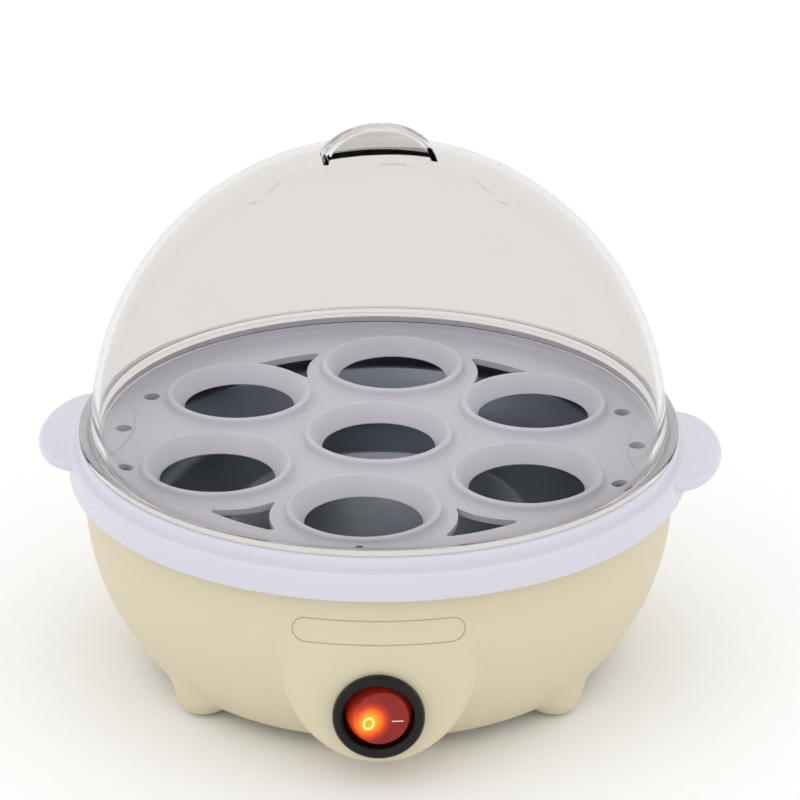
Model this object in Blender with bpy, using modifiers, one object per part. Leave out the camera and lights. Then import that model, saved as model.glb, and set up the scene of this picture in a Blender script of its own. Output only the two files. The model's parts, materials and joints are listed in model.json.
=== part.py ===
# Electric egg cooker: a round bowl base with a rocker switch, a water pan heated from
# below, a lift-out tray that carries seven eggs, and a clear dome lid.
# Metres, +Z up, the switch faces -Y, and the soles of the feet stand on Z = 0.
import math

import bmesh
import bpy
from mathutils import Matrix, Vector

MM = 0.001
GAP = 0.3 * MM                      # left between pieces that touch
FULL_TURN = 2 * math.pi
ROUND = 40                          # sides of the large turned pieces
SMALL_ROUND = 12                    # sides of screws, pins and holes

# Base bowl: an elliptical side that is upright at its widest height
BOWL_RADIUS = 77.4 * MM
BOWL_WALL = 2.2 * MM
BOWL_TOP = 58.4 * MM
BOWL_WAIST = 46.0 * MM
BOWL_DROP = 69.0 * MM               # vertical half axis of the elliptical side
BOWL_FLOOR = 3.4 * MM
RIM_INNER = 75.5 * MM
LEDGE_TOP = 49.6 * MM
LEDGE_UNDER = 47.6 * MM
LEDGE_INNER = 68.0 * MM
LIP_INNER = 44.5 * MM
LIP_TOP = 7.9 * MM

# Feet
FOOT_X = 45.5 * MM
FOOT_Y = 38.0 * MM
FOOT_RADIUS = 7.2 * MM
FOOT_EDGE = 5.2 * MM

# Switch housing and round rocker switch
HOUSING_HALF = 24.0 * MM
HOUSING_FLOOR = 7.0 * MM
HOUSING_TOP = 46.0 * MM
HOUSING_LEAN = 1.6 * MM             # the housing's face leans out by this at its foot
SWITCH_Z = 20.5 * MM
SEAT_Y = -77.8 * MM                 # flat spot face under the bezel
BEZEL_RADIUS = 11.4 * MM
BEZEL_THICK = 2.5 * MM
BARREL_RADIUS = 10.0 * MM
BARREL_DEPTH = 14.0 * MM
POCKET_RADIUS = 8.8 * MM
PIVOT_DEPTH = 5.0 * MM              # rocker pivot behind the bezel's face
ROCKER_RADIUS = 8.3 * MM
ROCKER_TILT = math.radians(11)      # each way from level

# Heating plate, its ring seal and the tubular element under it
PLATE_RADIUS = 74.8 * MM
PLATE_TOP = 52.9 * MM
PLATE_FLOOR = 38.0 * MM
PLATE_SHEET = 1.0 * MM
ELEMENT_RING = 42.0 * MM
ELEMENT_RADIUS = 3.25 * MM
BRACKET_RING = 70.0 * MM
BRACKET_ANGLES = (90, 210, 330)

# Bottom cover
COVER_RADIUS = 51.9 * MM
COVER_BOTTOM = 3.9 * MM
COVER_TOP = 5.6 * MM
COVER_SCREW_RING = 49.0 * MM
SCREW_RADIUS = 1.5 * MM
SCREW_HEAD = 2.9 * MM
SCREW_HOLE = 1.8 * MM

# Cord gland at the back
GLAND_Z = 24.0 * MM
GLAND_FACE = 75.5 * MM
GLAND_BORE = 3.25 * MM

# Egg tray
TRAY_TURN = math.radians(-4.7)      # the tray lies slightly turned on the bowl
TRAY_RIM = 64.0 * MM                # the lid stands on this ring
TRAY_WELL = 75.0 * MM
TRAY_OUTER = 81.6 * MM
TRAY_PLATE = 59.5 * MM
TRAY_SKIRT = 53.2 * MM
TRAY_SHEET = 1.8 * MM
SEAT_RING = 46.0 * MM
SEAT_HOLE = 15.0 * MM
SEAT_COLLAR = 20.5 * MM
SEAT_TOP = 62.4 * MM
EAR_CENTRE = 77.6 * MM
EAR_REACH = 12.4 * MM
EAR_HALF = 23.5 * MM

# Lid
DOME_RADIUS = 75.3 * MM
DOME_WALL = 1.9 * MM
FLANGE_RADIUS = 78.5 * MM
GRIP_FOOT = DOME_RADIUS - 4.0 * MM  # centre of the grip's half-moon, above the dome's centre
GRIP_HALF = 14.85 * MM
GRIP_RISE = 11.2 * MM
GRIP_TURN = math.radians(6.3)
GRIP_SIDE = ((6.4 * MM, 0), (4.6 * MM, 3.2 * MM), (3.2 * MM, 6.2 * MM), (2.0 * MM, 9.2 * MM),
             (1.5 * MM, 12.0 * MM))  # half thickness of the pinched grip at each height
GRIP_WALL = 1.5 * MM
STEAM_SLOT = (-0.2 * MM, 6.1 * MM)  # ends of the slot at the foot of the grip's front
STEAM_SLOT_OUT = 7.0 * MM
STEAM_SLOT_HALF = 0.65 * MM

# The box around the object is centred on the origin, so the bowl's axis stands off it.
FRONT_REACH = -SEAT_Y + GAP + BEZEL_THICK + 1.4 * MM
AXIS_Y = (FRONT_REACH - TRAY_OUTER) / 2


def clear_scene():
    for obj in list(bpy.data.objects):
        bpy.data.objects.remove(obj, do_unlink=True)


def new_collection(name):
    collection = bpy.data.collections.new(name)
    bpy.context.scene.collection.children.link(collection)
    return collection


def new_empty(name, parent=None, location=(0, 0, 0), turn=0.0):
    empty = bpy.data.objects.new(name, None)
    empty.location = location
    empty.rotation_euler.z = turn
    empty.parent = parent
    empty.empty_display_size = 20 * MM
    PARTS.objects.link(empty)
    return empty


def plastic(name, colour, roughness, metallic=0.0, alpha=1.0):
    material = bpy.data.materials.new(name)
    material.use_nodes = True
    shader = material.node_tree.nodes["Principled BSDF"]
    shader.inputs["Base Color"].default_value = (*colour, 1.0)
    shader.inputs["Roughness"].default_value = roughness
    shader.inputs["Metallic"].default_value = metallic
    shader.inputs["Alpha"].default_value = alpha
    material.diffuse_color = (*colour, alpha)
    return material


def metal(name, colour, roughness):
    return plastic(name, colour, roughness, metallic=1.0)


def add_object(name, mesh, material, parent, location=(0, 0, 0), rotation=(0, 0, 0)):
    obj = bpy.data.objects.new(name, mesh)
    obj.parent = parent
    obj.location = location
    obj.rotation_euler = rotation
    if material is None:
        obj.hide_render = True
        obj.display_type = "WIRE"
        CUTTERS.objects.link(obj)
    else:
        if not mesh.materials:
            mesh.materials.append(material)
        PARTS.objects.link(obj)
    return obj


def mesh_of(obj):
    # The finished mesh of an object, which is then removed
    bpy.context.view_layer.update()
    evaluated = obj.evaluated_get(bpy.context.evaluated_depsgraph_get())
    mesh = bpy.data.meshes.new_from_object(evaluated)
    work = bmesh.new()
    work.from_mesh(mesh)
    bmesh.ops.remove_doubles(work, verts=work.verts, dist=0.001 * MM)
    work.to_mesh(mesh)
    work.free()
    bpy.data.objects.remove(obj, do_unlink=True)
    return mesh


def smooth(mesh, degrees=35):
    mesh.shade_smooth()
    mesh.set_sharp_from_angle(angle=math.radians(degrees))


def arc(centre, radius, start, end, steps):
    # Points on a circle, or on an ellipse where radius is a pair; angles in degrees
    across, up = radius if isinstance(radius, tuple) else (radius, radius)
    points = []
    for step in range(steps + 1):
        angle = math.radians(start + (end - start) * step / steps)
        points.append((centre[0] + across * math.cos(angle), centre[1] + up * math.sin(angle)))
    return points


def turned_mesh(name, profile, sides=ROUND, closed=False):
    # The profile is (radius, height) pairs that run down its outer side
    work = bmesh.new()
    verts = [work.verts.new((radius, 0, height)) for radius, height in profile]
    for first, second in zip(verts, verts[1:]):
        work.edges.new((first, second))
    if closed:
        work.edges.new((verts[-1], verts[0]))
    mesh = bpy.data.meshes.new(name)
    work.to_mesh(mesh)
    work.free()
    obj = add_object(name + "_profile", mesh, None, None)
    screw = obj.modifiers.new("Turn", "SCREW")
    screw.angle = FULL_TURN
    screw.steps = screw.render_steps = sides
    screw.use_merge_vertices = True
    screw.merge_threshold = 0.002 * MM
    turned = mesh_of(obj)
    turned.name = name
    smooth(turned)
    return turned


def outline_mesh(name, outline, thickness):
    # A flat outline in X and Y, thickened both ways from Z = 0
    curve = bpy.data.curves.new(name, "CURVE")
    curve.dimensions = "2D"
    curve.fill_mode = "BOTH"
    curve.extrude = thickness / 2
    spline = curve.splines.new("POLY")
    spline.points.add(len(outline) - 1)
    for point, (x, y) in zip(spline.points, outline):
        point.co = (x, y, 0, 1)
    spline.use_cyclic_u = True
    return mesh_of(add_object(name, curve, None, None))


def cylinders_mesh(name, rods, sides=SMALL_ROUND):
    # Upright rods or cones, each (x, y, bottom, top, bottom radius, top radius)
    work = bmesh.new()
    for x, y, bottom, top, low_radius, high_radius in rods:
        place = Matrix.Translation((x, y, (bottom + top) / 2))
        bmesh.ops.create_cone(work, cap_ends=True, segments=sides, radius1=low_radius,
                              radius2=high_radius, depth=top - bottom, matrix=place)
    mesh = bpy.data.meshes.new(name)
    work.to_mesh(mesh)
    work.free()
    smooth(mesh)
    return mesh


def box_mesh(name, size, bevel=0.0):
    work = bmesh.new()
    bmesh.ops.create_cube(work, size=1.0, matrix=Matrix.Diagonal((*size, 1.0)))
    if bevel:
        bmesh.ops.bevel(work, geom=work.edges, offset=bevel, segments=1, affect="EDGES")
    mesh = bpy.data.meshes.new(name)
    work.to_mesh(mesh)
    work.free()
    return mesh


def tube_mesh(name, points, radius):
    curve = bpy.data.curves.new(name, "CURVE")
    curve.dimensions = "3D"
    curve.bevel_depth = radius
    curve.bevel_resolution = 2
    curve.use_fill_caps = True
    spline = curve.splines.new("POLY")
    spline.points.add(len(points) - 1)
    for point, place in zip(spline.points, points):
        point.co = (*place, 1)
    mesh = mesh_of(add_object(name, curve, None, None))
    smooth(mesh)
    return mesh


def combine(obj, operation, mesh, location=(0, 0, 0), rotation=(0, 0, 0)):
    # One Boolean step with its own cutter, placed in the frame of the object's parent
    cutter = add_object(mesh.name, mesh, None, obj.parent, location, rotation)
    step = obj.modifiers.new(mesh.name, "BOOLEAN")
    step.operation = operation
    step.object = cutter
    step.solver = "EXACT"


def polar(ring, degrees, height=0.0):
    angle = math.radians(degrees)
    return (ring * math.cos(angle), ring * math.sin(angle), height)


def bowl_radius(height):
    if height >= BOWL_WAIST:
        return BOWL_RADIUS
    return BOWL_RADIUS * math.sqrt(1 - ((BOWL_WAIST - height) / BOWL_DROP) ** 2)


def bowl_side(top, bottom, steps, inset=0.0):
    heights = [top + (bottom - top) * step / steps for step in range(steps + 1)]
    return [(bowl_radius(height) - inset, height) for height in heights]


def housing_outline(inset, top):
    # U outline, round at the bottom
    half = HOUSING_HALF - inset
    bottom = arc((0, HOUSING_FLOOR + HOUSING_HALF), half, 180, 360, 14)
    return [(-half, top), *bottom, (half, top)]


def housing_mesh(name, inset, top, back):
    # The U outline, kept inside a slightly leaning cone around the bowl's axis
    foot = BOWL_RADIUS + HOUSING_LEAN - inset
    cone = [(0, HOUSING_TOP), (BOWL_RADIUS - inset, HOUSING_TOP), (foot, 0), (0, 0)]
    block = outline_mesh(name + "_outline", housing_outline(inset, top), 40 * MM)
    body = add_object(name, turned_mesh(name + "_cone", cone, sides=72), None, None)
    keep = add_object(name + "_keep", block, None, None, (0, back - 20 * MM, 0), (math.pi / 2, 0, 0))
    step = body.modifiers.new("Keep", "BOOLEAN")
    step.operation = "INTERSECT"
    step.object = keep
    mesh = mesh_of(body)
    bpy.data.objects.remove(keep, do_unlink=True)
    mesh.name = name
    return mesh


def screw_mesh(name, length):
    # Pan head below, shank upward; the head's seat is at Z = 0
    head = 2.0 * MM
    profile = [(0, length), (SCREW_RADIUS, length - 0.8 * MM), (SCREW_RADIUS, 0), (SCREW_HEAD, 0),
               (2.4 * MM, -head), (0, -head)]
    blank = add_object(name, turned_mesh(name, profile, sides=SMALL_ROUND), None, None)
    slot = box_mesh(name + "_slot", (8 * MM, 0.8 * MM, 1.8 * MM))
    cutter = add_object(name + "_slot", slot, None, None, (0, 0, -head), (0, 0, math.radians(20)))
    step = blank.modifiers.new("Slot", "BOOLEAN")
    step.object = cutter
    mesh = mesh_of(blank)
    bpy.data.objects.remove(cutter, do_unlink=True)
    mesh.name = name
    return mesh


def make_base_bowl(root, cream):
    corner = arc((56.5 * MM, BOWL_FLOOR + 5 * MM), 5 * MM, -40, -90, 2)
    outside = [(0, BOWL_TOP), (BOWL_RADIUS - 0.6 * MM, BOWL_TOP), (BOWL_RADIUS, BOWL_TOP - 0.6 * MM)]
    outside += bowl_side(BOWL_WAIST, 6.0 * MM, 6) + corner + [(0, BOWL_FLOOR)]
    bowl = add_object("base_bowl", turned_mesh("base_bowl", outside), cream, root)

    combine(bowl, "UNION", housing_mesh("housing_block", 0, HOUSING_TOP, -55 * MM))
    sole = [(0, 14 * MM), (FOOT_RADIUS, 14 * MM)]
    sole += arc((FOOT_RADIUS - FOOT_EDGE, FOOT_EDGE), FOOT_EDGE, 0, -90, 3) + [(0, 0)]
    for side in (-1, 1):
        for end in (-1, 1):
            combine(bowl, "UNION", turned_mesh("foot_stub", sole, sides=16),
                    (side * FOOT_X, end * FOOT_Y, 0))
    pad = cylinders_mesh("gland_pad", [(0, 0, 0, 15 * MM, 9 * MM, 9 * MM)], sides=24)
    combine(bowl, "UNION", pad, (0, GLAND_FACE - 15 * MM, GLAND_Z), (-math.pi / 2, 0, 0))

    inner_top = BOWL_WAIST - 1 * MM
    hollow = [(0, BOWL_TOP + 2 * MM), (RIM_INNER, BOWL_TOP + 2 * MM), (RIM_INNER, LEDGE_TOP),
              (LEDGE_INNER, LEDGE_TOP), (LEDGE_INNER, LEDGE_UNDER)]
    hollow += bowl_side(inner_top, LIP_TOP + 2 * MM, 4, BOWL_WALL)
    hollow += [(57 * MM, LIP_TOP), (LIP_INNER, LIP_TOP), (LIP_INNER, COVER_TOP + GAP),
               (COVER_RADIUS + GAP, COVER_TOP + GAP), (COVER_RADIUS + GAP, 1 * MM), (0, 1 * MM)]
    combine(bowl, "DIFFERENCE", turned_mesh("bowl_hollow", hollow))
    combine(bowl, "DIFFERENCE", housing_mesh("housing_pocket", BOWL_WALL, 44 * MM, -50 * MM))

    seat = cylinders_mesh("switch_seat", [(0, 0, 0, 8 * MM, BEZEL_RADIUS + 0.5 * MM,
                                           BEZEL_RADIUS + 0.5 * MM)], sides=32)
    combine(bowl, "DIFFERENCE", seat, (0, SEAT_Y, SWITCH_Z), (math.pi / 2, 0, 0))
    hole = BARREL_RADIUS + GAP
    combine(bowl, "DIFFERENCE", cylinders_mesh("switch_hole", [(0, 0, 0, 20 * MM, hole, hole)], sides=32),
            (0, SEAT_Y + 10 * MM, SWITCH_Z), (math.pi / 2, 0, 0))
    gland = 5.3 * MM
    combine(bowl, "DIFFERENCE", cylinders_mesh("gland_hole", [(0, 0, 0, 24 * MM, gland, gland)], sides=24),
            (0, GLAND_FACE - 20 * MM, GLAND_Z), (-math.pi / 2, 0, 0))

    bosses = []
    drills = []
    for degrees in BRACKET_ANGLES:
        x, y, _ = polar(BRACKET_RING, degrees)
        bosses.append((x, y, 40.3 * MM, LEDGE_UNDER + 1 * MM, 3.6 * MM, 3.6 * MM))
        drills.append((x, y, 39 * MM, LEDGE_UNDER, SCREW_HOLE, SCREW_HOLE))
    for degrees in (45, 135, 225, 315):
        x, y, _ = polar(COVER_SCREW_RING, degrees)
        bosses.append((x, y, COVER_TOP + 1 * MM, 15 * MM, 3.4 * MM, 3.4 * MM))
        drills.append((x, y, COVER_TOP - 1 * MM, 13.5 * MM, SCREW_HOLE, SCREW_HOLE))
    combine(bowl, "UNION", cylinders_mesh("screw_bosses", bosses))
    combine(bowl, "DIFFERENCE", cylinders_mesh("screw_drills", drills))
    return bowl


def make_base_cover(root, cream):
    edge = 0.5 * MM
    profile = [(0, COVER_TOP), (COVER_RADIUS, COVER_TOP), (COVER_RADIUS, COVER_BOTTOM + edge),
               (COVER_RADIUS - edge, COVER_BOTTOM), (0, COVER_BOTTOM)]
    cover = add_object("base_cover", turned_mesh("base_cover", profile), cream, root)
    holes = []
    for degrees in (45, 135, 225, 315):
        x, y, _ = polar(COVER_SCREW_RING, degrees)
        holes.append((x, y, 2 * MM, 8 * MM, SCREW_HOLE, SCREW_HOLE))
    combine(cover, "DIFFERENCE", cylinders_mesh("cover_holes", holes))
    slot = arc((9 * MM, 0), 1.5 * MM, -90, 90, 4) + arc((-9 * MM, 0), 1.5 * MM, 90, 270, 4)
    for degrees in (34, 94, 154, 214, 274, 334):
        vent = outline_mesh("cover_vent", slot, 8 * MM)
        combine(cover, "DIFFERENCE", vent, polar(28 * MM, degrees, COVER_TOP),
                (0, 0, math.radians(degrees)))


def make_screws(root, steel):
    long_screw = screw_mesh("cover_screw", 8.5 * MM)
    long_screw.materials.append(steel)
    for number, degrees in enumerate((45, 135, 225, 315), start=1):
        add_object(f"cover_screw_{number}", long_screw, steel, root,
                   polar(COVER_SCREW_RING, degrees, COVER_BOTTOM - GAP))
    short_screw = screw_mesh("bracket_screw", 7.0 * MM)
    short_screw.materials.append(steel)
    for number, degrees in enumerate(BRACKET_ANGLES, start=1):
        add_object(f"bracket_screw_{number}", short_screw, steel, root,
                   polar(BRACKET_RING, degrees, 38.8 * MM - GAP))


def make_heating_plate(root, steel):
    # Open sheet, from the flange down into the flat pan, then given its thickness
    flange = [(PLATE_RADIUS, PLATE_TOP), (67.5 * MM, PLATE_TOP)]
    shoulder = arc((67.5 * MM, PLATE_TOP - 2 * MM), 2 * MM, 110, 160, 1)
    corner = arc((57.5 * MM, PLATE_FLOOR + 4.5 * MM), 4.5 * MM, -20, -90, 2)
    floor = [(0, PLATE_FLOOR)]
    mesh = turned_mesh("heating_plate", flange + shoulder + corner + floor)
    work = bmesh.new()
    work.from_mesh(mesh)
    if sum(face.normal.z * face.calc_area() for face in work.faces) < 0:
        bmesh.ops.reverse_faces(work, faces=work.faces)
    work.to_mesh(mesh)
    work.free()
    plate = add_object("heating_plate", mesh, steel, root)
    sheet = plate.modifiers.new("Sheet", "SOLIDIFY")
    sheet.thickness = PLATE_SHEET
    sheet.offset = -1.0
    sheet.use_even_offset = True


def make_plate_gasket(root, silicone):
    top = PLATE_TOP - PLATE_SHEET - GAP
    bottom = LEDGE_TOP + GAP
    inner, outer = 69.0 * MM, 74.6 * MM
    profile = [(outer - 0.5 * MM, top), (outer, top - 0.5 * MM), (outer, bottom),
               (inner, bottom), (inner, top)]
    add_object("plate_gasket", turned_mesh("plate_gasket", profile, closed=True), silicone, root)


def make_plate_brackets(root, steel):
    # Z-shaped strips from the pan's floor out to the bosses under the ledge
    low, high, thick = 35.5 * MM, 38.8 * MM, 1.2 * MM
    upper = [(73 * MM, high + thick), (65.5 * MM, high + thick), (59.5 * MM, low + thick), (49 * MM, low + thick)]
    lower = [(49 * MM, low), (60 * MM, low), (66 * MM, high), (73 * MM, high)]
    for number, degrees in enumerate(BRACKET_ANGLES, start=1):
        strip = outline_mesh("plate_bracket", upper + lower, 10 * MM)
        strip.transform(Matrix.Rotation(math.pi / 2, 4, "X"))
        hole = [(BRACKET_RING, 0, 30 * MM, 50 * MM, SCREW_HOLE, SCREW_HOLE)]
        turn = (0, 0, math.radians(degrees))
        bracket = add_object(f"plate_bracket_{number}", strip, steel, root, rotation=turn)
        combine(bracket, "DIFFERENCE", cylinders_mesh("bracket_hole", hole), rotation=turn)


def make_element(root, steel, brass):
    height = PLATE_FLOOR - PLATE_SHEET - GAP - ELEMENT_RADIUS
    start, end = 22, 338
    ring = [polar(ELEMENT_RING, start + (end - start) * step / 26, height) for step in range(27)]
    bend = 3.0 * MM
    bottom = 22 * MM
    for end_point, first in ((ring[0], True), (ring[-1], False)):
        x, y, _ = polar(ELEMENT_RING, start - 7 if first else end + 7)
        tail = [(x, y, height - bend), (x, y, bottom)]
        ring = tail[::-1] + ring if first else ring + tail
    add_object("heating_element", tube_mesh("heating_element", ring, ELEMENT_RADIUS), steel, root)
    for name, degrees in (("element_pin_right", start - 7), ("element_pin_left", end + 7)):
        x, y, _ = polar(ELEMENT_RING, degrees)
        rods = [(x, y, 15 * MM, bottom - GAP, 1.5 * MM, 1.5 * MM)]
        add_object(name, cylinders_mesh(name, rods), brass, root)


def make_thermostat(root, phenolic, steel):
    cap_top = PLATE_FLOOR - PLATE_SHEET - GAP
    profile = [(0, cap_top), (7.6 * MM, cap_top), (8.2 * MM, cap_top - 0.6 * MM), (8.2 * MM, 33.5 * MM),
               (7.4 * MM, 33.5 * MM), (7.4 * MM, 27 * MM), (0, 27 * MM)]
    add_object("thermostat_body", turned_mesh("thermostat_body", profile, sides=24), phenolic, root)
    strap = []
    for x, radius, start in ((15, 4.5, -60), (0, 11, 60), (-15, 4.5, 120), (0, 11, 240)):
        sweep = 120 if x else 60
        strap += arc((x * MM, 0), radius * MM, start, start + sweep, 5)
    mesh = outline_mesh("thermostat_strap", strap, 0.8 * MM)
    obj = add_object("thermostat_strap", mesh, steel, root, (0, 0, 32.7 * MM))
    holes = [(0, 0, 30 * MM, 36 * MM, 7.8 * MM, 7.8 * MM)]
    for side in (-1, 1):
        holes.append((side * 15 * MM, 0, 30 * MM, 36 * MM, SCREW_HOLE, SCREW_HOLE))
    combine(obj, "DIFFERENCE", cylinders_mesh("strap_holes", holes, sides=20))
    screw = screw_mesh("strap_screw", 4.2 * MM)
    screw.materials.append(steel)
    for number, side in enumerate((-1, 1), start=1):
        add_object(f"strap_screw_{number}", screw, steel, root, (side * 15 * MM, 0, 32.3 * MM - GAP))


def make_thermostat_tabs(root, brass):
    for name, side in (("thermostat_tab_left", -1), ("thermostat_tab_right", 1)):
        tab = box_mesh(name, (0.8 * MM, 4.8 * MM, 7 * MM), bevel=0.15 * MM)
        add_object(name, tab, brass, root, (side * 4.5 * MM, 0, 27 * MM - GAP - 3.5 * MM))


def make_fuse(root, sleeve, steel):
    y = 24 * MM
    radius = 2.2 * MM
    height = PLATE_FLOOR - PLATE_SHEET - 2 * GAP - radius
    rod = [(0, 0, -7 * MM, 7 * MM, radius, radius)]
    add_object("thermal_fuse", cylinders_mesh("thermal_fuse", rod), sleeve, root,
               (0, y, height), (0, math.pi / 2, 0))
    # Omega-shaped clip around the fuse, in the YZ plane
    inner, outer = radius + GAP, radius + GAP + 0.8 * MM
    foot = 7 * MM
    top = radius + GAP
    clip = [(-foot, top), (-inner, top)] + arc((0, 0), inner, 180, 360, 8) + [(inner, top), (foot, top)]
    clip += [(foot, top - 0.8 * MM), (outer, top - 0.8 * MM)] + arc((0, 0), outer, 0, -180, 8)
    clip += [(-outer, top - 0.8 * MM), (-foot, top - 0.8 * MM)]
    mesh = outline_mesh("fuse_clip", clip, 6 * MM)
    mesh.transform(Matrix.Rotation(math.pi / 2, 4, "X"))
    mesh.transform(Matrix.Rotation(math.pi / 2, 4, "Z"))
    add_object("fuse_clip", mesh, steel, root, (0, y, height - GAP / 2))


def make_switch(root, black, red, glass, brass):
    back = SEAT_Y - GAP                                 # flange's rear face
    face = BEZEL_THICK
    floor = -BARREL_DEPTH + 2 * MM
    profile = [(POCKET_RADIUS + 0.4 * MM, face - 0.6 * MM), (POCKET_RADIUS + 0.8 * MM, face)]
    profile += arc((BEZEL_RADIUS - 1.4 * MM, face - 1.4 * MM), 1.4 * MM, 90, 0, 3)
    profile += [(BEZEL_RADIUS, 0), (BARREL_RADIUS, 0), (BARREL_RADIUS, -BARREL_DEPTH), (0, -BARREL_DEPTH)]
    profile = [(0, floor), (POCKET_RADIUS, floor)] + profile
    turn = (math.pi / 2, 0, 0)
    body = add_object("switch_body", turned_mesh("switch_body", profile, sides=32), black, root,
                      (0, back, SWITCH_Z), turn)
    pivot_y = back - BEZEL_THICK + PIVOT_DEPTH
    sockets = [(0, 0, -BARREL_RADIUS - MM, BARREL_RADIUS + MM, 1.35 * MM, 1.35 * MM)]
    combine(body, "DIFFERENCE", cylinders_mesh("pivot_sockets", sockets), (0, pivot_y, SWITCH_Z))

    # Rocker: a ball cut to a shallow V in front and flat behind, on two short trunnions
    pivot = new_empty("rocker_pivot", root, (0, pivot_y, SWITCH_Z), ROCKER_TILT)
    work = bmesh.new()
    bmesh.ops.create_uvsphere(work, u_segments=24, v_segments=12, radius=ROCKER_RADIUS)
    ball = bpy.data.meshes.new("rocker")
    work.to_mesh(ball)
    work.free()
    smooth(ball)
    rocker = add_object("rocker", ball, red, pivot)
    wide = 10 * MM
    front = [(-wide, -5.6 * MM), (0, -4.2 * MM), (wide, -5.6 * MM), (wide, 3.5 * MM), (-wide, 3.5 * MM)]
    combine(rocker, "INTERSECT", outline_mesh("rocker_faces", front, 20 * MM))
    trunnions = [(0, 0, -9.5 * MM, -7.5 * MM, 1.2 * MM, 1.2 * MM), (0, 0, 7.5 * MM, 9.5 * MM, 1.2 * MM, 1.2 * MM)]
    combine(rocker, "UNION", cylinders_mesh("rocker_trunnions", trunnions))

    lamp = [(0, 0, -3 * MM, 3 * MM, 1.25 * MM, 1.25 * MM)]
    add_object("switch_lamp", cylinders_mesh("switch_lamp", lamp), glass, root,
               (0, pivot_y + 5.7 * MM, SWITCH_Z))
    tab_y = back + BARREL_DEPTH + GAP + 4 * MM
    for name, x in (("switch_terminal_left", -6), ("switch_terminal_middle", 0), ("switch_terminal_right", 6)):
        tab = box_mesh(name, (0.8 * MM, 8 * MM, 4.8 * MM), bevel=0.15 * MM)
        add_object(name, tab, brass, root, (x * MM, tab_y, SWITCH_Z))


def make_gland(root, black):
    flange, thick, length = 7.5 * MM, 2.8 * MM, 10 * MM
    barrel = 5.0 * MM
    profile = [(GLAND_BORE, thick), (flange - 1.2 * MM, thick), (flange, thick - 1.2 * MM), (flange, 0),
               (barrel, 0), (barrel, -length), (GLAND_BORE, -length)]
    mesh = turned_mesh("cord_gland", profile, sides=24, closed=True)
    add_object("cord_gland", mesh, black, root, (0, GLAND_FACE + GAP, GLAND_Z), (-math.pi / 2, 0, 0))


def make_terminal_block(root, nylon, steel):
    size = (20 * MM, 14 * MM, 10 * MM)
    centre = (0, 36 * MM, COVER_TOP + GAP + size[2] / 2)
    block = add_object("terminal_block", box_mesh("terminal_block", size, bevel=0.8 * MM), nylon, root, centre)
    ways = [(side * 5.5 * MM, 0, -10 * MM, 10 * MM, 1.8 * MM, 1.8 * MM) for side in (-1, 1)]
    combine(block, "DIFFERENCE", cylinders_mesh("block_ways", ways), centre, (math.pi / 2, 0, 0))
    for name, side in (("clamp_screw_left", -1), ("clamp_screw_right", 1)):
        well = [(0, 0, 0, 8 * MM, SCREW_HOLE, SCREW_HOLE)]
        top = centre[2] + size[2] / 2
        combine(block, "DIFFERENCE", cylinders_mesh("block_well", well),
                (side * 5.5 * MM, centre[1], top - 3 * MM))
        grub = [(0, 0, 0, 2.2 * MM, SCREW_RADIUS, SCREW_RADIUS)]
        add_object(name, cylinders_mesh(name, grub), steel, root,
                   (side * 5.5 * MM, centre[1], top - 2.4 * MM))


def smooth_route(stops, steps):
    # A smooth curve through the stops, sampled evenly between each pair
    stops = [Vector(stop) * MM for stop in stops]
    ends = [2 * stops[0] - stops[1], *stops, 2 * stops[-1] - stops[-2]]
    points = []
    for before, here, there, after in zip(ends, ends[1:], ends[2:], ends[3:]):
        for step in range(steps):
            t = step / steps
            points.append(0.5 * ((2 * here) + (there - before) * t
                                 + (2 * before - 5 * here + 4 * there - after) * t * t
                                 + (3 * here - before - 3 * there + after) * t ** 3))
    points.append(stops[-1])
    return points


def make_wires(root, brown, blue):
    # Routes in millimetres from the bowl's axis
    live = [(-5.5, 28.6, 10.9), (-9, 20, 11), (-20, 0, 12), (-18, -30, 14), (-8, -48, 19), (-6, -54.6, 20.5)]
    switched = [(6, -54.6, 20.5), (9, -48, 20), (22, -34, 17), (30, -14, 20), (20, 14, 27), (12, 24, 33.8),
                (7.6, 24, 33.8)]
    fused = [(-7.6, 24, 33.8), (-13, 24, 33), (-12, 18, 23), (4, 12, 17), (24, 12, 12), (36, 11.3, 12),
             (40.6, 10.9, 13.4)]
    neutral = [(5.5, 28.6, 10.9), (8, 20, 11), (9, 8, 14), (5, 1, 17.5), (4.5, 0, 19.3)]
    returned = [(-4.5, 0, 19.3), (-4, -1, 17.5), (4, -8, 13), (24, -11, 12), (36, -11.3, 12),
                (40.6, -10.9, 13.4)]
    routes = {"wire_live": (live, brown), "wire_switched": (switched, brown), "wire_fused": (fused, brown),
              "wire_neutral": (neutral, blue), "wire_return": (returned, blue)}
    for name, (stops, colour) in routes.items():
        mesh = tube_mesh(name, smooth_route(stops, 3), 1.1 * MM)
        add_object(name, mesh, colour, root)


def window_outline():
    # Between two neighbouring seats: two sides follow the seats, the third the tray's edge
    clear, outer = 23.6 * MM, 61.3 * MM
    seat_x, seat_y = SEAT_RING * math.cos(math.pi / 6), SEAT_RING * math.sin(math.pi / 6)
    tip = math.degrees(math.asin(seat_y / clear))
    reach = math.acos((outer ** 2 + SEAT_RING ** 2 - clear ** 2) / (2 * outer * SEAT_RING))
    half = math.pi / 6 - reach
    corner = math.degrees(math.atan2(seat_y - outer * math.sin(half), outer * math.cos(half) - seat_x))
    lower = arc((seat_x, -seat_y), clear, tip - 2, corner + 4, 4)
    rim = arc((0, 0), outer, -math.degrees(half) + 2, math.degrees(half) - 2, 2)
    upper = [(x, -y) for x, y in reversed(lower)]
    return lower + rim + upper


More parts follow.
